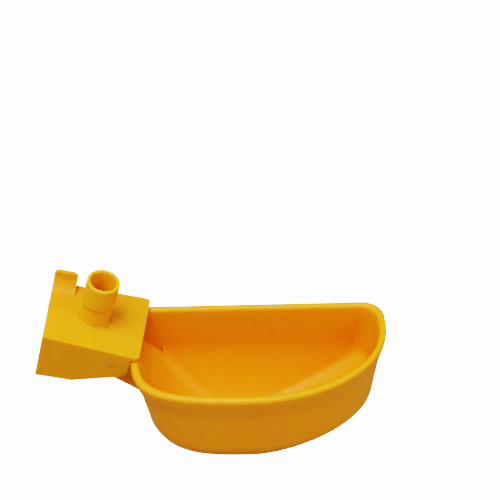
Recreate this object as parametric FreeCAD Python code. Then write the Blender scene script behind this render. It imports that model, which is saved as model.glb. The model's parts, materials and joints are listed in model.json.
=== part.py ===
import FreeCAD, Part
import math
import os

V = FreeCAD.Vector

# All lengths are in millimetres. Z is up, the cup stands on Z = 0.
# X runs along the bowl, away from the valve box. -Y is the front.

# Bowl, as seen from above at the rim
bowl_left = -36.7
bowl_right = 57.4
bowl_front = -34.8
bowl_back = 11.8
bowl_depth = 47.0
bowl_wall = 2.1
bowl_floor = 2.8

# How far each side leans in on the way down, in degrees
lean_left = 9.9
lean_right = 6.7
lean_front = 0.6
lean_back = 1.0

# The floor rises at three sides: how far in, how high, and how full the curve is
rise_left_run = 16.0
rise_left_height = 22.5
rise_left_fullness = 0.24
rise_right_run = 40.0
rise_right_height = 19.3
rise_right_fullness = 0.24
rise_front_run = 15.0
rise_front_height = 18.0
rise_front_fullness = 0.38

# Shape of the D in plan: at the rim and at the bottom
crown_at_rim = 6.1
crown_at_bottom = 5.3
left_straight_at_rim = 0.49
left_straight_at_bottom = 0.59
right_straight_at_rim = 0.25
right_straight_at_bottom = 0.35
left_fullness_at_rim = 0.80
left_fullness_at_bottom = 0.87
right_fullness = 0.56
round_fullness = 0.55
foot_steps = 8
wall_steps = 3
right_corner_at_rim = 7.5
left_corner_at_rim = 3.0
back_corner_at_bottom = 1.6

# Rolled rim
rim_overhang = 0.8
rim_band = 2.6
rim_height = 2.0
rim_round = 0.8

# Pivot and the open angle of the box
pivot_from_bowl = 7.3
pivot_below_rim = 2.4
open_angle = 16.8
pin_radius = 1.4
pin_clearance = 0.05
pin_show = 1.2
pin_lead = 0.4

# Neck and lever tail, measured from the pivot
cheek_gap = 0.7
cheek_wall = 1.8
cheek_boss_radius = 4.2
tail_left = -18.5
tail_top = -3.1
tail_floor = 1.8
tail_side_top = -0.9
neck_slope = 42.0
neck_under_x = -1.4
neck_under_z = -8.1
neck_end_x = 13.0
stop_right = 8.6
stop_left = 2.2
stop_gap = 0.05

# Valve box in its own level frame, measured from the pivot
plate_left = -27.0
plate_right = 9.0
plate_half_width = 14.7
plate_top = 7.1
plate_thickness = 1.8
plate_corner = 1.0
plate_edge = 0.6
box_wall = 1.5
front_wall_bottom = -11.1
front_wall_flat_to = -13.3
rear_wall_bottom = -30.9
rear_wall_flat_to = -19.0
rear_wall_corner = 6.0
end_wall_foot = 4.0
ear_radius = 5.3
tab_width = 8.9
tab_height = 6.4
tab_corner = 2.0

# Hose barb, nozzle
barb_x = -9.4
barb_height = 20.0
barb_tip_radius = 5.7
barb_ridge_radius = 5.95
barb_shank_radius = 5.1
barb_ridge_height = 9.6
barb_ridge_rise = 0.8
barb_root = 0.9
barb_tip_lead = 1.1
barb_lip = 0.65
barb_bore = 8.3
nozzle_root_radius = 3.4
nozzle_tip_radius = 2.0
nozzle_tip = -1.0
nozzle_lead = 0.35
nozzle_hole = 1.8

# Seal pad and spring
pad_radius = 4.0
pad_thickness = 2.0
pad_clearance = 0.05
pad_ring_wall = 1.2
pad_ring_height = 1.0
spring_wire = 0.8
spring_radius = 6.1
spring_half_turns = 7
spring_gap = 0.02
wire_sides = 6

# Places that follow from the sizes above
pivot = V(bowl_left - pivot_from_bowl, 0, bowl_depth - pivot_below_rim)
plate_under = plate_top - plate_thickness
box_inner = plate_half_width - box_wall
cheek_half_width = box_inner - cheek_gap
cheek_inner = cheek_half_width - cheek_wall
pin_end = plate_half_width + pin_show
past = 1.0


def tan(degrees):
    return math.tan(math.radians(degrees))


def blend(low, high, share):
    return low + (high - low) * share


def polygon(points, plane_y):
    """Flat face from X, Z points in the plane Y = plane_y."""
    corners = [V(x, plane_y, z) for x, z in points]
    return Part.Face(Part.makePolygon(corners + corners[:1]))


def slab(points, y_from, y_to):
    """Solid from X, Z points, between two Y values."""
    return polygon(points, y_from).extrude(V(0, y_to - y_from, 0))


def cylinder(radius, y_from, y_to, x=0.0, z=0.0):
    return Part.makeCylinder(radius, y_to - y_from, V(x, y_from, z), V(0, 1, 0))


def box(x_from, x_to, y_from, y_to, z_from, z_to):
    size = (x_to - x_from, y_to - y_from, z_to - z_from)
    return Part.makeBox(size[0], size[1], size[2], V(x_from, y_from, z_from))


def round_edges(shape, radius, wanted):
    """Round every edge that the test picks."""
    edges = [edge for edge in shape.Edges if wanted(edge)]
    return shape.makeFillet(radius, edges)


def side_rise(height, run, full_height, fullness):
    """How far a side is still drawn in at this height above the floor.

    The side follows a curve that leaves the floor level and ends upright.
    """
    if height >= full_height:
        return 0.0
    near, far = 0.0, 1.0
    for _ in range(40):
        t = (near + far) / 2
        z = full_height * (3 * (1 - t) * t * t * (1 - fullness) + t ** 3)
        if z < height:
            near = t
        else:
            far = t
    return run * ((1 - t) ** 3 + 3 * (1 - t) ** 2 * t * (1 - fullness))


def curve(start, corner, end, fullness, z):
    """Curve from start to end that is pulled toward the corner."""
    pull_a = [s + (c - s) * fullness for s, c in zip(start, corner)]
    pull_b = [e + (c - e) * fullness for e, c in zip(end, corner)]
    bezier = Part.BezierCurve()
    bezier.setPoles([V(p[0], p[1], z) for p in (start, pull_a, pull_b, end)])
    return bezier.toShape()


def line(start, end, z):
    return Part.makeLine(V(start[0], start[1], z), V(end[0], end[1], z))


def outline(z, inward, floor):
    """D outline of the bowl at height z, drawn in by the wall thickness."""
    share = z / bowl_depth
    below = bowl_depth - z
    above_floor = z - floor
    left = bowl_left + below * tan(lean_left) + inward
    right = bowl_right - below * tan(lean_right) - inward
    front = bowl_front + below * tan(lean_front) + inward
    back = bowl_back - below * tan(lean_back) - inward
    left += side_rise(above_floor, rise_left_run - inward, rise_left_height - floor, rise_left_fullness)
    right -= side_rise(above_floor, rise_right_run - inward, rise_right_height - floor, rise_right_fullness)
    front += side_rise(above_floor, rise_front_run - inward, rise_front_height - floor, rise_front_fullness)
    width = back - front
    left_y = back - width * blend(left_straight_at_bottom, left_straight_at_rim, share)
    right_y = back - width * blend(right_straight_at_bottom, right_straight_at_rim, share)
    crown = blend(crown_at_bottom, crown_at_rim, share)
    left_full = blend(left_fullness_at_bottom, left_fullness_at_rim, share)
    right_corner = max(blend(back_corner_at_bottom, right_corner_at_rim, share * share) - inward / 2, 1.0)
    left_corner = max(blend(back_corner_at_bottom, left_corner_at_rim, share * share) - inward / 2, 1.0)
    edges = [
        line((left, back - left_corner), (left, left_y), z),
        curve((left, left_y), (left, front), (crown, front), left_full, z),
        curve((crown, front), (right, front), (right, right_y), right_fullness, z),
        line((right, right_y), (right, back - right_corner), z),
        curve((right, back - right_corner), (right, back), (right - right_corner, back), round_fullness, z),
        line((right - right_corner, back), (left + left_corner, back), z),
        curve((left + left_corner, back), (left, back), (left, back - left_corner), round_fullness, z),
    ]
    return Part.Wire(edges)


def bowl_solid(inward, floor, top):
    """Solid between the floor and the top, through a stack of outlines.

    The outlines lie close together where the foot of the bowl is round.
    """
    rises = (rise_left_height, rise_right_height, rise_front_height)
    shoulder = max(rises)
    levels = set(rises)
    for step in range(foot_steps):
        t = step / foot_steps
        levels.add(blend(floor, shoulder, 2.1 * (1 - t) * t * t + t ** 3))
    for step in range(1, wall_steps + 1):
        levels.add(blend(shoulder, top, step / wall_steps))
    return Part.makeLoft([outline(z, inward, floor) for z in sorted(levels)], True, True)


def rim_level(drop, inward):
    """Outline of the rim at a distance below its top."""
    return outline(bowl_depth, inward, 0.0).translated(V(0, 0, -drop))


def rim_ring():
    """Rim band round the top of the bowl, with its two top edges rounded off."""
    inner_edge = rim_band - rim_overhang
    outer, inner = [], []
    for angle in (0, 30, 60, 90):
        aside = rim_round * (1 - math.cos(math.radians(angle)))
        drop = rim_round * (1 - math.sin(math.radians(angle)))
        outer.append(rim_level(drop, aside - rim_overhang))
        inner.append(rim_level(drop, inner_edge - aside))
    outer.insert(0, rim_level(rim_height, -rim_overhang))
    inner.insert(0, rim_level(rim_height, inner_edge))
    return Part.makeLoft(outer, True, True).cut(Part.makeLoft(inner, True, True))


def neck_points(offset):
    """Side view of the neck floor's lower face, moved up by the offset."""
    slope = tan(neck_slope)
    lift = offset / math.cos(math.radians(neck_slope))
    flat = tail_top - tail_floor + offset
    bend_x = neck_under_x - (flat - neck_under_z - lift) / slope
    end_z = neck_under_z + lift - (neck_end_x - neck_under_x) * slope
    return flat, (bend_x, flat), (neck_end_x, end_z)


def neck_solid():
    """Cheeks, tail and neck as one solid block, in the pivot's frame."""
    flat, bend, end = neck_points(0.0)
    stop_z = plate_under / math.cos(math.radians(open_angle)) - stop_gap
    drop = tan(open_angle)
    in_rim = pivot_below_rim - rim_height / 2
    points = [
        (tail_left, flat),
        bend,
        end,
        (neck_end_x, in_rim),
        (stop_right, in_rim),
        (stop_right, stop_z - drop * stop_right),
        (stop_left, stop_z - drop * stop_left),
        (-cheek_boss_radius, tail_side_top),
        (tail_left, tail_side_top),
    ]
    block = slab(points, -cheek_half_width, cheek_half_width)
    boss = cylinder(cheek_boss_radius, -cheek_half_width, cheek_half_width)
    return block.fuse(boss)


def channel_void():
    """Room inside the tail and neck, open at the top and into the bowl."""
    flat, bend, end = neck_points(tail_floor)
    start = tail_left + cheek_wall
    points = [(start, flat), bend, end, (end[0], bowl_depth), (start, bowl_depth)]
    return slab(points, -cheek_inner, cheek_inner)


def pin(side):
    """Pivot pin on the outside of one cheek, with a small lead at its end."""
    outward = V(0, side, 0)
    start = cheek_half_width - cheek_wall / 2
    straight = pin_end - pin_lead
    shaft = Part.makeCylinder(pin_radius, straight - start, outward * start, outward)
    tip = Part.makeCone(pin_radius, pin_radius - pin_lead, pin_lead, outward * straight, outward)
    return shaft.fuse(tip)


def make_bowl():
    body = bowl_solid(0.0, 0.0, bowl_depth - rim_round / 2)
    cavity = bowl_solid(bowl_wall, bowl_floor, bowl_depth + past)
    neck = neck_solid().translated(pivot)
    void = channel_void().translated(pivot)
    pins = pin(-1).fuse(pin(1)).translated(pivot)
    seat = pad_radius + pad_clearance
    sunk = tail_floor / 2
    ring_foot = V(barb_x, 0, tail_top - sunk)
    ring = Part.makeCylinder(seat + pad_ring_wall, pad_ring_height + sunk, ring_foot)
    pocket = Part.makeCylinder(seat, pad_ring_height + past, V(barb_x, 0, tail_top))
    ring = ring.cut(pocket).translated(pivot)
    shape = body.fuse(rim_ring()).fuse(neck)
    shape = shape.cut(cavity).cut(void)
    shape = shape.fuse([pins, ring])
    return shape.removeSplitter()


def wall_profile(bottom, flat_to):
    """Side view of one box wall: end wall side, bottom edge, ear, plate."""
    reach = math.hypot(flat_to, bottom)
    angle = math.atan2(bottom, flat_to) + math.acos(ear_radius / reach)
    touch = (ear_radius * math.cos(angle), ear_radius * math.sin(angle))
    top = plate_under + box_wall / 4
    foot = [(plate_left, top), (plate_left, bottom), (flat_to, bottom), touch]
    return foot + [(0, 0), (ear_radius, 0), (ear_radius, top)]


def box_wall_solid(side, bottom, flat_to):
    y_far = side * plate_half_width
    y_near = side * (plate_half_width - box_wall)
    low = min(y_far, y_near)
    high = max(y_far, y_near)
    wall = slab(wall_profile(bottom, flat_to), low, high)
    ear = cylinder(ear_radius, low, high)
    return wall.fuse(ear)


def cover_plate():
    plate = box(plate_left, plate_right, -plate_half_width, plate_half_width, plate_under, plate_top)
    upright = lambda edge: edge.BoundBox.ZLength > plate_thickness - 0.01
    plate = round_edges(plate, plate_corner, upright)
    return round_edges(plate, plate_edge, lambda edge: edge.BoundBox.ZMin > plate_top - 0.01)


def end_wall():
    """Wall at the left end, with a lower edge that slants down to the rear."""
    y = plate_half_width
    top = plate_under + box_wall / 4
    corners = [V(plate_left, -y, top), V(plate_left, y, top)]
    corners += [V(plate_left, y, rear_wall_bottom), V(plate_left, y - end_wall_foot, rear_wall_bottom)]
    corners += [V(plate_left, -y, front_wall_bottom)]
    return Part.Face(Part.makePolygon(corners + corners[:1])).extrude(V(box_wall, 0, 0))


def tab():
    y_far = plate_half_width
    top = plate_top + tab_height
    plate = box(plate_left, plate_left + tab_width, y_far - box_wall, y_far, plate_under, top)
    short = lambda edge: edge.BoundBox.ZMin > top - 0.01 and edge.BoundBox.XLength < 0.01
    return round_edges(plate, tab_corner, short)


def barb_and_nozzle():
    base = plate_top
    top = plate_top + barb_height
    ridge = plate_top + barb_ridge_height
    shank = barb_shank_radius
    root = shank + barb_root
    lead = barb_bore / 2 + barb_lip
    points = [
        (0.0, nozzle_tip),
        (nozzle_tip_radius, nozzle_tip),
        (nozzle_tip_radius + nozzle_lead, nozzle_tip + nozzle_lead),
        (nozzle_root_radius, plate_under),
        (root, plate_under + plate_thickness / 4),
        (root, base),
        (blend(root, shank, 0.7), base + barb_root * 0.3),
        (shank, base + barb_root),
        (shank, ridge - barb_ridge_rise),
        (barb_ridge_radius, ridge),
        (barb_ridge_radius, ridge + barb_ridge_rise / 2),
        (barb_tip_radius, ridge + barb_ridge_rise * 1.7),
        (barb_tip_radius, top - barb_tip_lead),
        (blend(barb_tip_radius, lead, 0.3), top - barb_tip_lead * 0.3),
        (lead, top),
        (0.0, top),
    ]
    corners = [V(r, 0, z) for r, z in points]
    face = Part.Face(Part.makePolygon(corners + corners[:1]))
    solid = face.revolve(V(0, 0, 0), V(0, 0, 1), 360)
    return solid.translated(V(barb_x, 0, 0))


def make_box():
    shape = cover_plate()
    shape = shape.fuse([
        box_wall_solid(-1, front_wall_bottom, front_wall_flat_to),
        box_wall_solid(1, rear_wall_bottom, rear_wall_flat_to),
        end_wall(),
        tab(),
        barb_and_nozzle(),
    ])
    bore = Part.makeCylinder(barb_bore / 2, barb_height + past, V(barb_x, 0, plate_top))
    through = plate_top + past - nozzle_tip
    hole = Part.makeCylinder(nozzle_hole / 2, through + past, V(barb_x, 0, nozzle_tip - past))
    reach = plate_half_width + past
    pin_holes = cylinder(pin_radius + pin_clearance, -reach, reach)
    shape = shape.cut([bore, hole, pin_holes, rear_corner_cut()])
    return shape.removeSplitter()


def rear_corner_cut():
    """Rounds the lower left corner of the rear wall."""
    r = rear_wall_corner
    x, z = plate_left, rear_wall_bottom
    near, far = 0.0, plate_half_width + past
    square = box(x - past, x + r, near, far, z - past, z + r)
    keep = cylinder(r, near - past, far + past, x + r, z + r)
    return square.cut(keep)


def open_box(shape):
    """Turn a shape of the box about the pin to its open rest and place it."""
    turned = shape.copy()
    turned.rotate(V(0, 0, 0), V(0, 1, 0), open_angle)
    return turned.translated(pivot)


def make_pad():
    pad = Part.makeCylinder(pad_radius, pad_thickness, V(barb_x, 0, tail_top))
    return pad.translated(pivot)


def make_spring():
    """Compression spring from the tail to the underside of the tilted plate.

    It is a chain of half turns, each a half circle between two points that
    lie to the right and to the left of the nozzle. The first half turn is flat
    on the tail and the last one lies along the plate. The wire is drawn as a
    prism of a few sides, which is round enough at its size.
    """
    tilt = math.radians(open_angle)
    lower = tail_top + spring_wire / 2 + spring_gap
    middle = (plate_under - math.sin(tilt) * barb_x) / math.cos(tilt)
    middle -= (spring_wire / 2 + spring_gap) / math.cos(tilt)
    ends = []
    for k in range(spring_half_turns + 1):
        side = 1 if k % 2 == 0 else -1
        upper = middle - side * spring_radius * math.tan(tilt)
        share = (k // 2) / ((spring_half_turns - 1) / 2)
        ends.append(V(barb_x + side * spring_radius, 0, blend(lower, upper, share)))
    arcs = []
    for k in range(spring_half_turns):
        side = 1 if k % 2 == 0 else -1
        radius = (ends[k + 1] - ends[k]).Length / 2
        middle_point = (ends[k] + ends[k + 1]) / 2 + V(0, side * radius, 0)
        arcs.append(Part.Arc(ends[k], middle_point, ends[k + 1]).toShape())
    corners = []
    for k in range(wire_sides):
        angle = 2 * math.pi * k / wire_sides
        corners.append(ends[0] + V(math.cos(angle), 0, math.sin(angle)) * spring_wire / 2)
    section = Part.makePolygon(corners + corners[:1])
    coil = Part.Wire(arcs).makePipeShell([section], True, False)
    return coil.translated(pivot)


os.makedirs("parts", exist_ok=True)
make_bowl().exportStep("parts/drinking_bowl.step")
open_box(make_box()).exportStep("parts/valve_box.step")
make_pad().exportStep("parts/seal_pad.step")
make_spring().exportStep("parts/valve_spring.step")
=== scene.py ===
import json
import math

import bmesh
import bpy
from mathutils import Matrix, Vector


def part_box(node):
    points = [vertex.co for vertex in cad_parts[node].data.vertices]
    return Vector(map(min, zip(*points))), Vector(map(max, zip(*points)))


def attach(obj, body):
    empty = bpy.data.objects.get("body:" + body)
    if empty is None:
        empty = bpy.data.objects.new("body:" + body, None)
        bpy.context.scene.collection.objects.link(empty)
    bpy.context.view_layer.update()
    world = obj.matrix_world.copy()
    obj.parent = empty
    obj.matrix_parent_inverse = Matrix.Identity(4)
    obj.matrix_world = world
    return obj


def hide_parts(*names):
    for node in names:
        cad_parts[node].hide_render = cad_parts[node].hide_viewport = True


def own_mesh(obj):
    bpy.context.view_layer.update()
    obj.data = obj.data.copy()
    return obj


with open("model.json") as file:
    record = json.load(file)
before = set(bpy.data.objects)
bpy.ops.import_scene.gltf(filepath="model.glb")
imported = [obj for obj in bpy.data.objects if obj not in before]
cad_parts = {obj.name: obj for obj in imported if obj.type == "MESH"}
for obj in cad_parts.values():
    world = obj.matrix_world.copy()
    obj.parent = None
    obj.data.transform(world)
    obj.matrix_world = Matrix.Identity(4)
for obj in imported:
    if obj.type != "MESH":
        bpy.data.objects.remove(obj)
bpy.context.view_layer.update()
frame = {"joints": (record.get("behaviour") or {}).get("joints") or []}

HINGE = frame["joints"][0]

# Lengths are in millimetres here and turn into metres when a mesh is made.
MM = 0.001
PIVOT = Vector(HINGE["pos_m"]) / MM
OPEN_ANGLE = math.radians(-HINGE["range_deg"][0])

# Bowl at the rim. The rim stands proud of the wall by its overhang.
bowl_low, bowl_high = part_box("drinking_bowl")
RIM_OVERHANG = 0.8
BOWL_LEFT = PIVOT.x + 7.3
BOWL_RIGHT = bowl_high.x / MM - RIM_OVERHANG
BOWL_FRONT = bowl_low.y / MM + RIM_OVERHANG
BOWL_BACK = 11.8
BOWL_DEPTH = PIVOT.z + 2.4
BOWL_WALL = 2.1
BOWL_FLOOR = 2.8
RIM_HEIGHT = 2.0
RIM_ROUND = 1.4
RIM_FOOT = 1.7
RIM_TAPER = 12.0

# Lean of each side in degrees, and its rise from the floor: run, height, fullness
LEAN = {"left": 9.9, "right": 6.7, "front": 0.6, "back": 1.0}
RISE = {"left": (16.0, 22.5, 0.24), "right": (40.0, 19.3, 0.24), "front": (15.0, 18.0, 0.38)}
# Inside, the floor also runs up into the back wall, and its corners are rounder.
INNER_RISE = {"left": (22.0, 30.0, 0.40), "right": (43.0, 24.0, 0.26),
              "front": (15.5, 19.0, 0.36), "back": (15.0, 28.0, 0.42)}
INNER_CORNER = (6.0, 7.0)
CORNER_SHARE = 0.85
CORNER_LEAST = 1.0

# Shape of the D in plan, at the bottom and at the rim
CROWN = (5.3, 6.1)
LEFT_STRAIGHT = (0.59, 0.49)
RIGHT_STRAIGHT = (0.35, 0.25)
LEFT_FULLNESS = (0.87, 0.80)
RIGHT_FULLNESS = 0.56
ROUND_FULLNESS = 0.55
LEFT_CORNER = (1.6, 3.0)
RIGHT_CORNER = (1.6, 7.5)

# How finely the bowl is drawn: points along each part of the D, rows up the wall
D_POINTS = {"left": 14, "front_left": 34, "front_right": 46, "right": 10,
            "right_corner": 12, "back": 36, "left_corner": 8}
FOOT_ROWS = 30
FOOT_CROWDING = 2.2
WALL_ROWS = 8
TAPER_ROWS = 10
RIM_ANGLES = (0, 18, 36, 54, 72, 90)
FLOOR_SHARES = (0.12, 0.35, 0.6, 0.82)
SHARP_ANGLE = 38

# Neck and lever tail, from the pivot
CHEEK_OUT = 12.5
CHEEK_IN = 10.7
BOSS_RADIUS = 4.2
BOSS_ARC = (86, 192)
TAIL_LEFT = -18.5
TAIL_TOP = -3.1
TAIL_FLOOR = 1.8
TAIL_SIDE_TOP = -0.9
NECK_SLOPE = math.tan(math.radians(42.0))
NECK_LINE_X = -1.4
NECK_UNDER_Z = -10.4
NECK_FLOOR_Z = -5.7
NECK_END = (13.0, 9.1)
CHANNEL_END = 15.5
CHANNEL_GAP = 0.06
CHANNEL_PAST = 2.0
STOP = (2.2, 6.6)
STOP_GAP = 0.05
PIN_RADIUS = 1.4
PIN_END = 15.9
PIN_LEAD = 0.35
PIN_SUNK = 0.5
PAD_RADIUS = 4.0
PAD_THICKNESS = 2.0
PAD_EDGE = 0.3
PAD_GAP = 0.05
PAD_RING_WALL = 1.2
PAD_RING_TOP = 0.5
PAD_RING_SUNK = 0.4
EDGE_ROUND = 0.45

# Valve box, from the pivot, in its own level frame
PLATE_LEFT = -27.0
PLATE_RIGHT = 9.0
PLATE_HALF = 14.7
PLATE_TOP = 7.1
PLATE_UNDER = 5.3
PLATE_CORNER = 1.5
WALL_TOP = 5.8
BOX_WALL = 1.5
FRONT_WALL = (-13.0, -13.3)
FRONT_LEFT_DROP = 1.4
REAR_WALL = (-30.9, -19.0)
REAR_CORNER = 6.0
END_WALL_FOOT = 9.7
EAR_RADIUS = 5.9
PIN_HOLE_GAP = 0.06
PIN_HOLE_REACH = 20.0
GATE_AT = (-26.6, 2.5, 6.0)
GATE_RADIUS = 0.7
GATE_FLATNESS = 0.6
TAB_WIDTH = 8.9
TAB_HEIGHT = 7.0
TAB_CORNER = 2.0
TAB_FOOT = 6.5
TAB_SUNK = 0.3

# The plate's front and right edges run askew: how far at both ends, where it begins and
# over how many millimetres it comes in. The right edge also lifts a little underneath.
FRONT_SKEW = (0.8, -2.0)
FRONT_SKEW_FROM = (7.0, 6.0)
RIGHT_SKEW = (-0.5, 1.8)
RIGHT_SKEW_FROM = (6.0, 2.5)
PLATE_LIP = 0.65

# Barb and nozzle: radii, and heights above the plate
BARB_X = -9.4
BARB_HEIGHT = 19.75
BARB_FOOT = 5.6
BARB_FLARE = 0.7
BARB_SHANK = 5.5
BARB_RIDGE = 6.15
BARB_RIDGE_UP = 9.6
BARB_TIP = 6.1
MOUTH_RADIUS = 4.6
BORE_RADIUS = 4.2
PASSAGE_RADIUS = 0.9
NOZZLE_TIP = 2.1
NOZZLE_TOP = 3.4
NOZZLE_END = -1.0
QUARTER_TURN = (0.3, 0.6, 0.9, 1.2, 1.5)

# Spring round the nozzle, between the tail and the plate
SPRING_RADIUS = 6.1
SPRING_WIRE = 0.8
SPRING_GAP = 0.02
SPRING_HALF_TURNS = 7
SPRING_STEPS = 20
SPRING_SIDES = 14

# Camera, in metres in the cup's own frame, read off the photograph's perspective
CAMERA_AT = (0.010511, -0.247378, 0.315511)
CAMERA_RIGHT = (0.99970, -0.00927, -0.02258)
CAMERA_FORWARD = (-0.00854, 0.73388, -0.67922)
SENSOR_WIDTH = 36
PHOTO_WIDTH = 500
FOCAL_PIXELS = 964.6

# Colours: each material has a lighter and a deeper one, which change in soft clouds.
YELLOW = (0.85, 0.31, 0.010)
YELLOW_DEEP = (0.82, 0.27, 0.006)
# The barb is one moulding with the box, but its yellow is drawn lighter and yellower: painted light
# that brightens the barb and its bore.
BARB_PAINTED_LIGHT_YELLOW = (0.87, 0.36, 0.016)
RUBBER = (0.030, 0.029, 0.028)
RUBBER_DEEP = (0.015, 0.015, 0.015)
STEEL = (0.62, 0.61, 0.58)
STEEL_DEEP = (0.42, 0.41, 0.39)
PLASTIC_ROUGHNESS = 0.46
CLOUD_SIZE = 28.0

# Studio, in metres. The floor looks white, but throws only a soft light back at the cup.
FLOOR_BOUNCE = (0.3, 0.28, 0.25)
FLOOR_WHITE = 7.0
FLOOR_REACH = 30.0
SKY = 0.36
KEY_AT = (-0.16, -0.17, 0.80)
KEY_SIZE = 0.55
KEY_POWER = 6.0
SIDE_AT = (0.50, -0.30, 0.50)
SIDE_SIZE = 0.50
SIDE_POWER = 1.6
LIGHT_AIM = (0, 0, 0.02)


def mix(low, high, share):
    return low + (high - low) * share


# Mesh helpers


def link_mesh(name, mesh):
    item = bpy.data.objects.new(name, mesh)
    bpy.context.scene.collection.objects.link(item)
    return item


def new_object(name, bm):
    """Object from a bmesh in millimetres."""
    bmesh.ops.scale(bm, vec=(MM, MM, MM), verts=bm.verts)
    bmesh.ops.recalc_face_normals(bm, faces=bm.faces)
    mesh = bpy.data.meshes.new(name)
    bm.to_mesh(mesh)
    bm.free()
    return link_mesh(name, mesh)


def settle(item):
    """Apply the modifiers of an object to its mesh."""
    bpy.context.view_layer.update()
    graph = bpy.context.evaluated_depsgraph_get()
    mesh = bpy.data.meshes.new_from_object(item.evaluated_get(graph))
    item.modifiers.clear()
    item.data = mesh
    for face in mesh.polygons:
        face.use_smooth = True
    return item


def combine(item, others, operation):
    """Add the others to an object or cut them out of it. They are used up."""
    for other in others:
        step = item.modifiers.new(operation.lower(), "BOOLEAN")
        step.operation = operation
        step.solver = "EXACT"
        step.object = other
    settle(item)
    for other in others:
        bpy.data.objects.remove(other)
    return item


def bevel(item, segments, angle):
    """Round the edges that bend by more than an angle in degrees."""
    step = item.modifiers.new("bevel", "BEVEL")
    step.width = EDGE_ROUND * MM
    step.segments = segments
    step.limit_method = "ANGLE"
    step.angle_limit = math.radians(angle)
    step.use_clamp_overlap = True
    return settle(item)


def flatten(item):
    """Take out the edges that lie within flat faces."""
    step = item.modifiers.new("flat", "DECIMATE")
    step.decimate_type = "DISSOLVE"
    step.angle_limit = math.radians(1)
    return settle(item)


def even_normals(item):
    """Flat faces look flat and rounded edges look round."""
    step = item.modifiers.new("normals", "WEIGHTED_NORMAL")
    step.keep_sharp = True
    step.weight = 60
    return settle(item)


def place(item, turn=0.0, at=(0, 0, 0)):
    """Turn a mesh about Y and move it, both in its vertices."""
    item.data.transform(Matrix.Translation(Vector(at) * MM) @ Matrix.Rotation(turn, 4, "Y"))
    return item


def prism(name, points, low, high, plane="XZ"):
    """Solid between two levels over a polygon that is drawn in a plane."""
    bm = bmesh.new()
    rings = []
    for level in (low, high):
        if plane == "XZ":
            rings.append([bm.verts.new((a, level, b)) for a, b in points])
        elif plane == "YZ":
            rings.append([bm.verts.new((level, a, b)) for a, b in points])
        else:
            rings.append([bm.verts.new((a, b, level)) for a, b in points])
    count = len(points)
    bm.faces.new(rings[0])
    bm.faces.new(rings[1])
    for i in range(count):
        j = (i + 1) % count
        bm.faces.new((rings[0][i], rings[0][j], rings[1][j], rings[1][i]))
    return new_object(name, bm)


def lathe(name, profile, sides, axis="Z", at=(0, 0, 0)):
    """Closed ring or disc from radius, height points. A radius of 0 closes on the axis."""
    bm = bmesh.new()
    rings = []
    for radius, height in profile:
        if radius == 0:
            rings.append([bm.verts.new((0, 0, height))])
            continue
        ring = []
        for k in range(sides):
            angle = 2 * math.pi * k / sides
            ring.append(bm.verts.new((radius * math.cos(angle), radius * math.sin(angle), height)))
        rings.append(ring)
    closed = profile[0][0] != 0
    pairs = list(zip(rings, rings[1:])) + ([(rings[-1], rings[0])] if closed else [])
    for a, b in pairs:
        for k in range(sides):
            n = (k + 1) % sides
            if len(a) == 1:
                bm.faces.new((a[0], b[k], b[n]))
            elif len(b) == 1:
                bm.faces.new((a[k], b[0], a[n]))
            else:
                bm.faces.new((a[k], b[k], b[n], a[n]))
    if axis == "Y":
        bmesh.ops.rotate(bm, verts=bm.verts, matrix=Matrix.Rotation(-math.pi / 2, 3, "X"))
    bmesh.ops.translate(bm, verts=bm.verts, vec=at)
    item = new_object(name, bm)
    for face in item.data.polygons:
        face.use_smooth = True
    return item


def arc(centre, radius, start, end, steps):
    """Points on an arc between two angles in degrees."""
    points = []
    for k in range(steps + 1):
        angle = math.radians(mix(start, end, k / steps))
        points.append((centre[0] + radius * math.cos(angle), centre[1] + radius * math.sin(angle)))
    return points


def join(name, items):
    """One object from several, with all their loose parts."""
    bm = bmesh.new()
    for item in items:
        bm.from_mesh(item.data)
        bpy.data.objects.remove(item)
    mesh = bpy.data.meshes.new(name)
    bm.to_mesh(mesh)
    bm.free()
    for face in mesh.polygons:
        face.use_smooth = True
    return link_mesh(name, mesh)


# Bowl, with its neck, lever tail and pins


def drawn_in(height, run, full_height, fullness):
    """How far a side is still drawn in at this height above the floor."""
    if height >= full_height:
        return 0.0
    near, far = 0.0, 1.0
    for _ in range(40):
        t = (near + far) / 2
        z = full_height * (3 * (1 - t) * t * t * (1 - fullness) + t ** 3)
        if z < height:
            near = t
        else:
            far = t
    return run * ((1 - t) ** 3 + 3 * (1 - t) ** 2 * t * (1 - fullness))


def bezier(start, corner, end, fullness, steps):
    """Points from start to just before end on a curve pulled toward the corner."""
    a, c, b = Vector(start), Vector(corner), Vector(end)
    pull_a, pull_b = a.lerp(c, fullness), b.lerp(c, fullness)
    points = []
    for k in range(steps):
        t = k / steps
        s = 1 - t
        points.append(a * s ** 3 + pull_a * 3 * s * s * t + pull_b * 3 * s * t * t + b * t ** 3)
    return points


def straight(start, end, steps):
    """Points from start to just before end on a line."""
    return [Vector(start).lerp(Vector(end), k / steps) for k in range(steps)]


def corner_size(low, high, share, inward, room):
    """Size of a rear corner at a share of the depth, kept within the side beside it."""
    size = max(mix(low, high, share * share) - inward / 2, CORNER_LEAST)
    return min(size, CORNER_SHARE * room)


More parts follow.
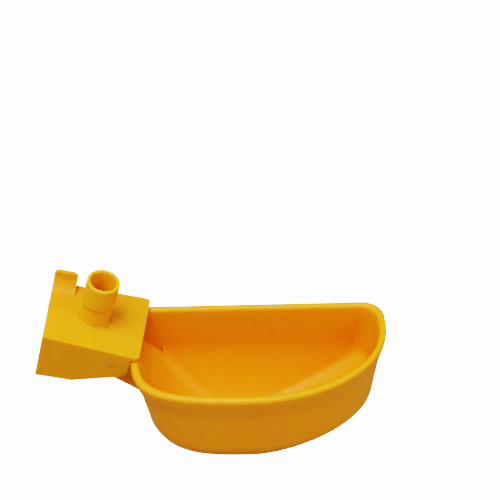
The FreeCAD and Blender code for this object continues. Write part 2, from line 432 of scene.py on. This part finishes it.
def outline(z, inward, floor, inner=False):
    """D outline of the bowl at height z, drawn in by the wall thickness."""
    rise = INNER_RISE if inner else RISE
    share = z / BOWL_DEPTH
    below = BOWL_DEPTH - z
    side = {}
    for name, edge, sign in (("left", BOWL_LEFT, 1), ("right", BOWL_RIGHT, -1),
                             ("front", BOWL_FRONT, 1), ("back", BOWL_BACK, -1)):
        side[name] = edge + sign * (below * math.tan(math.radians(LEAN[name])) + inward)
        if name in rise:
            run, height, fullness = rise[name]
            side[name] += sign * drawn_in(z - floor, run - inward, height - floor, fullness)
    left, right, front, back = side["left"], side["right"], side["front"], side["back"]
    width = back - front
    left_y = back - width * mix(*LEFT_STRAIGHT, share)
    right_y = back - width * mix(*RIGHT_STRAIGHT, share)
    crown = mix(*CROWN, share)
    left_full = mix(*LEFT_FULLNESS, share)
    left_low, left_high = LEFT_CORNER
    right_low, right_high = RIGHT_CORNER
    if inner:
        left_low, right_low = INNER_CORNER
    left_corner = corner_size(left_low, left_high, share, inward, back - left_y)
    right_corner = corner_size(right_low, right_high, share, inward, back - right_y)
    points = straight((left, back - left_corner), (left, left_y), D_POINTS["left"])
    points += bezier((left, left_y), (left, front), (crown, front), left_full,
                     D_POINTS["front_left"])
    points += bezier((crown, front), (right, front), (right, right_y), RIGHT_FULLNESS,
                     D_POINTS["front_right"])
    points += straight((right, right_y), (right, back - right_corner), D_POINTS["right"])
    points += bezier((right, back - right_corner), (right, back), (right - right_corner, back),
                     ROUND_FULLNESS, D_POINTS["right_corner"])
    points += straight((right - right_corner, back), (left + left_corner, back), D_POINTS["back"])
    points += bezier((left + left_corner, back), (left, back), (left, back - left_corner),
                     ROUND_FULLNESS, D_POINTS["left_corner"])
    return [(p.x, p.y, z) for p in points]


def rim_row(drop, inward):
    """Outline of the rim, moved down by a drop."""
    return [(x, y, z - drop) for x, y, z in outline(BOWL_DEPTH, inward, 0.0)]


def floor_rows(row):
    """Rows that close a flat floor toward its middle."""
    middle = sum((Vector(p) for p in row), Vector()) / len(row)
    return [[middle.lerp(Vector(p), share) for p in row] for share in FLOOR_SHARES]


def wall_rows(inward, floor, top, inner=False):
    """Outlines from the floor to the top, close together where the side curves."""
    rise = INNER_RISE if inner else RISE
    shoulder = max(height for run, height, fullness in rise.values())
    levels = []
    for step in range(FOOT_ROWS):
        t = step / FOOT_ROWS
        levels.append(mix(floor, shoulder, FOOT_CROWDING * (1 - t) * t * t + t ** 3))
    levels += [mix(shoulder, top, k / WALL_ROWS) for k in range(WALL_ROWS + 1)]
    return [outline(z, inward, floor, inner) for z in levels]


def rim_rows():
    """Rows of the rim: the flare on the outside, then a half round over the top."""
    rows = []
    for step in range(1, TAPER_ROWS + 1):
        t = step / TAPER_ROWS
        drop = mix(RIM_TAPER, RIM_FOOT, t)
        flare = RIM_OVERHANG * t * t * (3 - 2 * t)
        wall = outline(BOWL_DEPTH - drop, -flare, 0.0)
        rim = rim_row(drop, -flare)
        rows.append([Vector(a).lerp(Vector(b), t ** 4) for a, b in zip(wall, rim)])
    for angle in RIM_ANGLES:
        aside = RIM_ROUND * (1 - math.cos(math.radians(angle)))
        down = RIM_ROUND * (1 - math.sin(math.radians(angle)))
        rows.append(rim_row(down, aside - RIM_OVERHANG))
    crest = BOWL_WALL - RIM_ROUND
    for angle in reversed(RIM_ANGLES[1:]):
        aside = RIM_ROUND * math.cos(math.radians(angle))
        down = RIM_ROUND * (1 - math.sin(math.radians(angle)))
        rows.append(rim_row(down, crest + aside))
    return rows


def bowl_shell():
    """The bowl as one closed skin: outside, rim and inside."""
    outside = wall_rows(0.0, 0.0, BOWL_DEPTH - RIM_TAPER)
    inside = wall_rows(BOWL_WALL, BOWL_FLOOR, BOWL_DEPTH - RIM_FOOT, True)
    rows = floor_rows(outside[0]) + outside + rim_rows()
    rows += list(reversed(inside))
    rows += list(reversed(floor_rows(inside[0])))
    bm = bmesh.new()
    rings = [[bm.verts.new(p) for p in row] for row in rows]
    count = len(rings[0])
    for a, b in zip(rings, rings[1:]):
        for i in range(count):
            j = (i + 1) % count
            bm.faces.new((a[i], a[j], b[j], b[i]))
    bm.faces.new(rings[0])
    bm.faces.new(rings[-1])
    return new_object("cup_bowl", bm)


def neck_edge(flat, line_z, end_x):
    """Side view of one face of the neck: where it bends down from the tail, and its end."""
    bend = (NECK_LINE_X - (flat - line_z) / NECK_SLOPE, flat)
    end = (end_x, line_z - (end_x - NECK_LINE_X) * NECK_SLOPE)
    return bend, end


def neck_block():
    """Neck and lever tail as one block. Its stop leans on the plate's underside."""
    flat = TAIL_TOP - TAIL_FLOOR
    bend, end = neck_edge(flat, NECK_UNDER_Z, NECK_END[0])
    stop_z = PLATE_UNDER / math.cos(OPEN_ANGLE) - STOP_GAP
    drop = math.tan(OPEN_ANGLE)
    in_rim = BOWL_DEPTH - RIM_HEIGHT / 2 - PIVOT.z
    points = [(TAIL_LEFT, flat), bend, end, (NECK_END[1], in_rim), (STOP[1], in_rim)]
    points += [(x, stop_z - drop * x) for x in reversed(STOP)]
    points += arc((0, 0), BOSS_RADIUS, *BOSS_ARC, 14)
    points += [(-BOSS_RADIUS - 0.5, TAIL_SIDE_TOP), (TAIL_LEFT, TAIL_SIDE_TOP)]
    block = prism("neck", points, -CHEEK_OUT, CHEEK_OUT)
    return place(bevel(block, 3, 25), at=PIVOT)


def channel():
    """Cut through the neck, flush with the bowl's back wall at the rear."""
    bend, end = neck_edge(TAIL_TOP, NECK_FLOOR_Z, CHANNEL_END)
    start = TAIL_LEFT + CHEEK_OUT - CHEEK_IN
    height = BOWL_DEPTH - PIVOT.z
    past = height + CHANNEL_PAST
    points = [(start, TAIL_TOP), bend, end, (end[0], past), (start, past)]
    tool = prism("channel", points, -CHEEK_IN, 0.0)
    inner_back = BOWL_BACK - BOWL_WALL - CHANNEL_GAP
    for vertex in tool.data.vertices:
        if vertex.co.y > -CHEEK_IN / 2 * MM:
            below = (height - vertex.co.z / MM) * math.tan(math.radians(LEAN["back"]))
            vertex.co.y = (inner_back - below) * MM
    return place(tool, at=PIVOT)


def pivot_pin(side):
    """Pin with a small lead at its end. The side is -1 for the front and 1 for the rear."""
    foot = CHEEK_IN + PIN_SUNK
    profile = [(0, foot), (PIN_RADIUS, foot), (PIN_RADIUS, PIN_END - PIN_LEAD)]
    profile += [(PIN_RADIUS - PIN_LEAD * 0.3, PIN_END - PIN_LEAD * 0.3)]
    profile += [(PIN_RADIUS - PIN_LEAD, PIN_END), (PIN_RADIUS - PIN_LEAD * 2, PIN_END)]
    profile += [(0, PIN_END - 0.05)]
    item = lathe("pin", [(r, side * y) for r, y in profile], 40, "Y")
    return place(item, at=PIVOT)


def pad_ring():
    """Low wall on the tail that holds the seal in place."""
    inner = PAD_RADIUS + PAD_GAP
    outer = inner + PAD_RING_WALL
    top, foot = TAIL_TOP + PAD_RING_TOP, TAIL_TOP - PAD_RING_SUNK
    profile = [(inner, foot), (outer, foot), (outer, top - 0.25), (outer - 0.07, top - 0.07)]
    profile += [(outer - 0.25, top), (inner + 0.2, top), (inner, top - 0.2)]
    return place(lathe("ring", profile, 48), at=PIVOT + Vector((BARB_X, 0, 0)))


def make_bowl():
    bowl = combine(bowl_shell(), [neck_block()], "UNION")
    bowl = combine(bowl, [channel()], "DIFFERENCE")
    bowl.data.set_sharp_from_angle(angle=math.radians(SHARP_ANGLE))
    return join("cup_bowl", [bowl, pivot_pin(-1), pivot_pin(1), pad_ring()])


# Valve box, drawn level and then turned to its open angle


def wall_points(bottom, flat_to, corner=0.0, left_drop=0.0):
    """Side view of one wall of the box, with the ear round the pin."""
    reach = math.hypot(flat_to, bottom)
    angle = math.degrees(math.atan2(bottom, flat_to) + math.acos(EAR_RADIUS / reach))
    points = [(PLATE_LEFT, WALL_TOP)]
    if corner:
        points += arc((PLATE_LEFT + corner, bottom + corner), corner, 180, 270, 12)
    else:
        points.append((PLATE_LEFT, bottom - left_drop))
    points.append((flat_to, bottom))
    points += arc((0, 0), EAR_RADIUS, angle, 0 if angle < 0 else 360, 16)
    points.append((EAR_RADIUS, WALL_TOP))
    return points


def skew_box(item):
    """Run the plate's front and right edges askew, as they are in the photo."""
    front_from, front_over = FRONT_SKEW_FROM
    right_from, right_over = RIGHT_SKEW_FROM
    for vertex in item.data.vertices:
        x, y, z = vertex.co / MM
        front = min(max((-y - front_from) / front_over, 0.0), 1.0)
        right = min(max((x - right_from) / right_over, 0.0), 1.0)
        along = (x - PLATE_LEFT) / (PLATE_RIGHT - PLATE_LEFT)
        across = (y + PLATE_HALF) / (2 * PLATE_HALF)
        lip = 0.0
        if z > PLATE_UNDER - 0.1:
            lip = max(1 - (z - PLATE_UNDER) / (PLATE_TOP - PLATE_UNDER), 0.0)
        vertex.co.y += front * mix(*FRONT_SKEW, along) * MM
        vertex.co.x += right * mix(*RIGHT_SKEW, across) * MM
        vertex.co.z += right * lip * across * PLATE_LIP * MM


def cover_plate():
    right, half = PLATE_RIGHT - PLATE_CORNER, PLATE_HALF - PLATE_CORNER
    plan = [(PLATE_LEFT, -PLATE_HALF)]
    plan += arc((right, -half), PLATE_CORNER, -90, 0, 6)
    plan += arc((right, half), PLATE_CORNER, 0, 90, 6)
    plan.append((PLATE_LEFT, PLATE_HALF))
    return prism("valve_shell", plan, PLATE_UNDER, PLATE_TOP, "XY")


def box_walls():
    """Front, rear and end wall. The end wall joins the low rear corner to the front."""
    inner = PLATE_HALF - BOX_WALL
    front = prism("front", wall_points(*FRONT_WALL, 0.0, FRONT_LEFT_DROP), -PLATE_HALF, -inner)
    rear = prism("rear", wall_points(*REAR_WALL, REAR_CORNER), inner, PLATE_HALF)
    corner_z = REAR_WALL[0] + REAR_CORNER
    end = [(-PLATE_HALF, WALL_TOP), (PLATE_HALF, WALL_TOP), (PLATE_HALF, corner_z)]
    end += [(END_WALL_FOOT, corner_z), (-PLATE_HALF, FRONT_WALL[0] - FRONT_LEFT_DROP)]
    return [front, rear, prism("end", end, PLATE_LEFT, PLATE_LEFT + BOX_WALL, "YZ")]


def hanger_tab():
    """Tab with rounded top corners, and the hollow fillet in front of its foot."""
    inner = PLATE_HALF - BOX_WALL
    left, right = PLATE_LEFT, PLATE_LEFT + TAB_WIDTH
    round_z = PLATE_TOP + TAB_HEIGHT - TAB_CORNER
    tab = [(left, WALL_TOP), (left, round_z)]
    tab += arc((left + TAB_CORNER, round_z), TAB_CORNER, 180, 90, 8)
    tab += arc((right - TAB_CORNER, round_z), TAB_CORNER, 90, 0, 8)
    tab.append((right, WALL_TOP))
    foot_y, foot_z = inner - TAB_FOOT, PLATE_TOP + TAB_FOOT
    in_tab, in_plate = inner + TAB_SUNK, PLATE_TOP - TAB_SUNK
    foot = arc((foot_y, foot_z), TAB_FOOT, 0, -90, 10)
    foot += [(foot_y, in_plate), (in_tab, in_plate), (in_tab, foot_z)]
    return [prism("tab", tab, inner, PLATE_HALF), prism("tab_foot", foot, left, right, "YZ")]


def gate_mark():
    """Small low dome left by the mould."""
    high = GATE_RADIUS * GATE_FLATNESS
    profile = [(0, -GATE_RADIUS)]
    profile += [(GATE_RADIUS * math.cos(a), high * math.sin(a)) for a in (-0.9, -0.3, 0.3, 0.8, 1.2)]
    profile += [(0, high)]
    return lathe("gate", profile, 20, at=GATE_AT)


def make_box():
    box = cover_plate()
    combine(box, box_walls() + hanger_tab(), "UNION")
    radius = PIN_RADIUS + PIN_HOLE_GAP
    hole = [(0, -PIN_HOLE_REACH), (radius, -PIN_HOLE_REACH)]
    hole += [(radius, PIN_HOLE_REACH), (0, PIN_HOLE_REACH)]
    pin_hole = lathe("pin_hole", hole, 40, "Y")
    hole = [(0, 0), (BARB_FOOT, 0), (BARB_FOOT, 9), (0, 9)]
    barb_hole = lathe("barb_hole", hole, 64, at=(BARB_X, 0, 0))
    combine(box, [pin_hole, barb_hole], "DIFFERENCE")
    flatten(box)
    bevel(box, 4, 32)
    skew_box(box)
    even_normals(box)
    return place(join("valve_shell", [box, gate_mark()]), OPEN_ANGLE, PIVOT)


def make_barb():
    """Barb, bore and nozzle as one turned form. The small steps are its roundings."""
    base, top = PLATE_TOP, PLATE_TOP + BARB_HEIGHT
    ridge = base + BARB_RIDGE_UP
    flare_radius = BARB_SHANK + BARB_FLARE
    profile = [(BARB_FOOT, PLATE_UNDER), (BARB_FOOT, base - 0.05), (flare_radius, base)]
    profile += [(flare_radius - BARB_FLARE * math.sin(a), base + BARB_FLARE * (1 - math.cos(a)))
                for a in QUARTER_TURN]
    profile += [(BARB_SHANK, base + 2.0), (BARB_SHANK, ridge - 1.2)]
    profile += [(BARB_SHANK + 0.12, ridge - 0.95), (BARB_RIDGE - 0.25, ridge - 0.2)]
    profile += [(BARB_RIDGE - 0.04, ridge + 0.1), (BARB_RIDGE, ridge + 0.35)]
    profile += [(BARB_RIDGE - 0.05, ridge + 0.65), (BARB_TIP + 0.06, ridge + 1.2)]
    profile += [(BARB_TIP, ridge + 1.6), (BARB_TIP, top - 2.0), (BARB_TIP - 0.02, top - 1.2)]
    profile += [(BARB_TIP - 0.6 + 0.58 * math.cos(a), top - 0.6 + 0.6 * math.sin(a))
                for a in QUARTER_TURN]
    profile += [(MOUTH_RADIUS + 0.5, top), (MOUTH_RADIUS + 0.25, top - 0.1)]
    profile += [(MOUTH_RADIUS + 0.08, top - 0.4), (MOUTH_RADIUS, top - 0.9)]
    profile += [(MOUTH_RADIUS - 0.1, top - 6), (BORE_RADIUS, base + 1.0)]
    profile += [(BORE_RADIUS - 0.4, base + 0.4), (BORE_RADIUS - 1.0, base + 0.2)]
    profile += [(PASSAGE_RADIUS + 0.3, base + 0.1), (PASSAGE_RADIUS, base - 0.2)]
    profile += [(PASSAGE_RADIUS, NOZZLE_END), (NOZZLE_TIP - 0.3, NOZZLE_END)]
    profile += [(NOZZLE_TIP, NOZZLE_END + 0.3), (NOZZLE_TOP, PLATE_UNDER)]
    item = lathe("hose_barb", profile, 96, at=(BARB_X, 0, 0))
    finer = item.modifiers.new("round", "SUBSURF")
    finer.levels = 1
    finer.render_levels = 1
    return place(settle(item), OPEN_ANGLE, PIVOT)


# Seal and spring, inside the box


def make_seal():
    """Soft disc with a shallow dish where the nozzle's end presses."""
    top, foot, edge = TAIL_TOP + PAD_THICKNESS, TAIL_TOP, PAD_EDGE
    profile = [(0, foot), (PAD_RADIUS - edge, foot), (PAD_RADIUS, foot + edge)]
    profile += [(PAD_RADIUS, top - edge), (PAD_RADIUS - edge * 0.3, top - edge * 0.3)]
    profile += [(PAD_RADIUS - edge, top), (2.4, top), (1.6, top - 0.12), (0, top - 0.15)]
    return lathe("seal_disc", profile, 48, at=PIVOT + Vector((BARB_X, 0, 0)))


def spring_path():
    """Half turns between points to the right and left of the nozzle."""
    lower = TAIL_TOP + SPRING_WIRE / 2 + SPRING_GAP
    under_plate = PLATE_UNDER - math.sin(OPEN_ANGLE) * BARB_X - SPRING_WIRE / 2 - SPRING_GAP
    middle = under_plate / math.cos(OPEN_ANGLE)
    ends = []
    for k in range(SPRING_HALF_TURNS + 1):
        side = 1 if k % 2 == 0 else -1
        upper = middle - side * SPRING_RADIUS * math.tan(OPEN_ANGLE)
        share = (k // 2) / ((SPRING_HALF_TURNS - 1) / 2)
        ends.append(Vector((BARB_X + side * SPRING_RADIUS, 0, mix(lower, upper, share))))
    points = []
    for k, (a, b) in enumerate(zip(ends, ends[1:])):
        side = 1 if k % 2 == 0 else -1
        centre, half = (a + b) / 2, (a - b) / 2
        bulge = Vector((0, side * half.length, 0))
        for n in range(SPRING_STEPS):
            angle = math.pi * n / SPRING_STEPS
            points.append(centre + half * math.cos(angle) + bulge * math.sin(angle))
    return points + [ends[-1]]


def make_spring():
    """Round wire along the spring's path, closed at both ends."""
    path = spring_path()
    bm = bmesh.new()
    rings = []
    for i, point in enumerate(path):
        along = (path[min(i + 1, len(path) - 1)] - path[max(i - 1, 0)]).normalized()
        out = Vector((point.x - BARB_X, point.y, 0)).normalized()
        up = along.cross(out).normalized()
        out = up.cross(along)
        ring = []
        for k in range(SPRING_SIDES):
            angle = 2 * math.pi * k / SPRING_SIDES
            aside = out * math.cos(angle) + up * math.sin(angle)
            ring.append(bm.verts.new(point + aside * SPRING_WIRE / 2))
        rings.append(ring)
    for a, b in zip(rings, rings[1:]):
        for k in range(SPRING_SIDES):
            n = (k + 1) % SPRING_SIDES
            bm.faces.new((a[k], a[n], b[n], b[k]))
    bm.faces.new(rings[0])
    bm.faces.new(rings[-1])
    item = new_object("coil_spring", bm)
    for face in item.data.polygons:
        face.use_smooth = len(face.vertices) == 4
    return place(item, at=PIVOT)


# Materials


def add_node(tree, kind, at, **values):
    """Node at a place in the tree, with values on its inputs."""
    node = tree.nodes.new(kind)
    node.location = at
    for name, value in values.items():
        node.inputs[name].default_value = value
    return node


def finished(name, light, deep, roughness, glow=0.0, depth=0.003, metal=0.0,
             grain_size=900.0, grain_depth=0.05):
    """Surface with cloudy colour, uneven gloss and fine grain. Glow lets some light in."""
    material = bpy.data.materials.new(name)
    material.use_nodes = True
    tree = material.node_tree
    shader = tree.nodes["Principled BSDF"]
    shader.inputs["IOR"].default_value = 1.49
    shader.inputs["Specular IOR Level"].default_value = 0.3
    shader.inputs["Metallic"].default_value = metal
    shader.inputs["Subsurface Weight"].default_value = glow
    shader.inputs["Subsurface Radius"].default_value = (1.0, 0.6, 0.1)
    shader.inputs["Subsurface Scale"].default_value = depth
    spot = add_node(tree, "ShaderNodeTexCoord", (-1100, 0))
    cloud = add_node(tree, "ShaderNodeTexNoise", (-800, 200), Scale=CLOUD_SIZE, Detail=3.0,
                     Roughness=0.5)
    mixer = tree.nodes.new("ShaderNodeMix")
    mixer.data_type = "RGBA"
    mixer.location = (-400, 200)
    mixer.inputs["A"].default_value = (*light, 1)
    mixer.inputs["B"].default_value = (*deep, 1)
    spread = add_node(tree, "ShaderNodeMapRange", (-600, 200))
    spread.inputs["From Min"].default_value = 0.3
    spread.inputs["From Max"].default_value = 0.8
    spread.inputs["To Max"].default_value = 0.35
    tree.links.new(spot.outputs["Object"], cloud.inputs["Vector"])
    tree.links.new(cloud.outputs["Fac"], spread.inputs["Value"])
    tree.links.new(spread.outputs["Result"], mixer.inputs["Factor"])
    tree.links.new(mixer.outputs["Result"], shader.inputs["Base Color"])
    grain = add_node(tree, "ShaderNodeTexNoise", (-800, -200), Scale=grain_size, Detail=2.0)
    bump = add_node(tree, "ShaderNodeBump", (-300, -300), Strength=grain_depth, Distance=0.0002)
    rough = add_node(tree, "ShaderNodeMapRange", (-300, 0))
    rough.inputs["To Min"].default_value = roughness - 0.04
    rough.inputs["To Max"].default_value = roughness + 0.05
    tree.links.new(spot.outputs["Object"], grain.inputs["Vector"])
    tree.links.new(grain.outputs["Fac"], bump.inputs["Height"])
    tree.links.new(cloud.outputs["Fac"], rough.inputs["Value"])
    tree.links.new(rough.outputs["Result"], shader.inputs["Roughness"])
    tree.links.new(bump.outputs["Normal"], shader.inputs["Normal"])
    return material


def finish_piece(item, material, slot, body, *nodes):
    """Give a piece its material, and let it ride on a body in place of the plain nodes."""
    item.data.materials.clear()
    item.data.materials.append(material)
    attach(item, body)
    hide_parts(*nodes)
    return item


# Floor, light and camera


def add_floor():
    """Floor that looks white to the camera only, so that it doesn't light the cup."""
    mesh = bpy.data.meshes.new("floor")
    size = FLOOR_REACH
    corners = [(-size, -size, 0), (size, -size, 0), (size, size, 0), (-size, size, 0)]
    mesh.from_pydata(corners, [], [(0, 1, 2, 3)])
    floor = link_mesh("floor", mesh)
    material = bpy.data.materials.new("floor")
    material.use_nodes = True
    tree = material.node_tree
    shader = tree.nodes["Principled BSDF"]
    shader.inputs["Base Color"].default_value = (*FLOOR_BOUNCE, 1)
    shader.inputs["Roughness"].default_value = 0.9
    shader.inputs["Specular IOR Level"].default_value = 0.0
    shader.inputs["Emission Color"].default_value = (1, 1, 1, 1)
    path = tree.nodes.new("ShaderNodeLightPath")
    gain = tree.nodes.new("ShaderNodeMath")
    gain.operation = "MULTIPLY"
    gain.inputs[1].default_value = FLOOR_WHITE
    tree.links.new(path.outputs["Is Camera Ray"], gain.inputs[0])
    tree.links.new(gain.outputs["Value"], shader.inputs["Emission Strength"])
    mesh.materials.append(material)


def add_light(name, at, size, power):
    """Round soft light that points at the cup."""
    lamp = bpy.data.lights.new(name, "AREA")
    lamp.shape = "DISK"
    lamp.size = size
    lamp.energy = power
    item = bpy.data.objects.new(name, lamp)
    item.location = at
    item.rotation_euler = (Vector(LIGHT_AIM) - Vector(at)).to_track_quat("-Z", "Y").to_euler()
    bpy.context.scene.collection.objects.link(item)


def add_camera():
    data = bpy.data.cameras.new("camera")
    data.sensor_fit = "HORIZONTAL"
    data.sensor_width = SENSOR_WIDTH
    data.lens = FOCAL_PIXELS / PHOTO_WIDTH * SENSOR_WIDTH
    data.clip_start = 0.01
    camera = bpy.data.objects.new("camera", data)
    forward = Vector(CAMERA_FORWARD).normalized()
    right = Vector(CAMERA_RIGHT)
    right = (right - forward * right.dot(forward)).normalized()
    up = right.cross(forward)
    turn = Matrix((right, up, -forward)).transposed().to_4x4()
    camera.matrix_world = Matrix.Translation(CAMERA_AT) @ turn
    bpy.context.scene.collection.objects.link(camera)
    bpy.context.scene.camera = camera


def add_world():
    world = bpy.data.worlds.new("studio")
    world.use_nodes = True
    sky = world.node_tree.nodes["Background"]
    sky.inputs["Color"].default_value = (1, 1, 1, 1)
    sky.inputs["Strength"].default_value = SKY
    bpy.context.scene.world = world


bowl_yellow = finished("bowl_plastic", YELLOW, YELLOW_DEEP, PLASTIC_ROUGHNESS, glow=0.45)
box_yellow = finished("box_plastic", YELLOW, YELLOW_DEEP, PLASTIC_ROUGHNESS, glow=0.60,
                      depth=0.005)
# Lighter copy of the box's plastic on the barb: painted light.
barb_painted_light = finished("barb_plastic_painted_light", BARB_PAINTED_LIGHT_YELLOW, YELLOW, PLASTIC_ROUGHNESS, glow=0.60,
                       depth=0.005)
rubber = finished("seal_rubber", RUBBER, RUBBER_DEEP, 0.62, grain_size=1800.0,
                  grain_depth=0.3)
steel = finished("spring_steel", STEEL, STEEL_DEEP, 0.26, metal=1.0, grain_size=2600.0,
                 grain_depth=0.12)

finish_piece(make_bowl(), bowl_yellow, "bowl_plastic", "bowl", "drinking_bowl")
finish_piece(make_box(), box_yellow, "box_plastic", "box", "valve_box")
finish_piece(make_barb(), barb_painted_light, "box_plastic", "box", "valve_box")
finish_piece(make_seal(), rubber, "seal_rubber", "bowl", "seal_pad")
spring = finish_piece(make_spring(), steel, "spring_steel", "box", "valve_spring")
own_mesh(spring)

add_floor()
add_light("key", KEY_AT, KEY_SIZE, KEY_POWER)
add_light("side", SIDE_AT, SIDE_SIZE, SIDE_POWER)
add_world()
add_camera()
bpy.context.scene.view_settings.view_transform = "Filmic"
bpy.context.scene.view_settings.look = "Very High Contrast"
bpy.context.scene.view_settings.exposure = 0.0
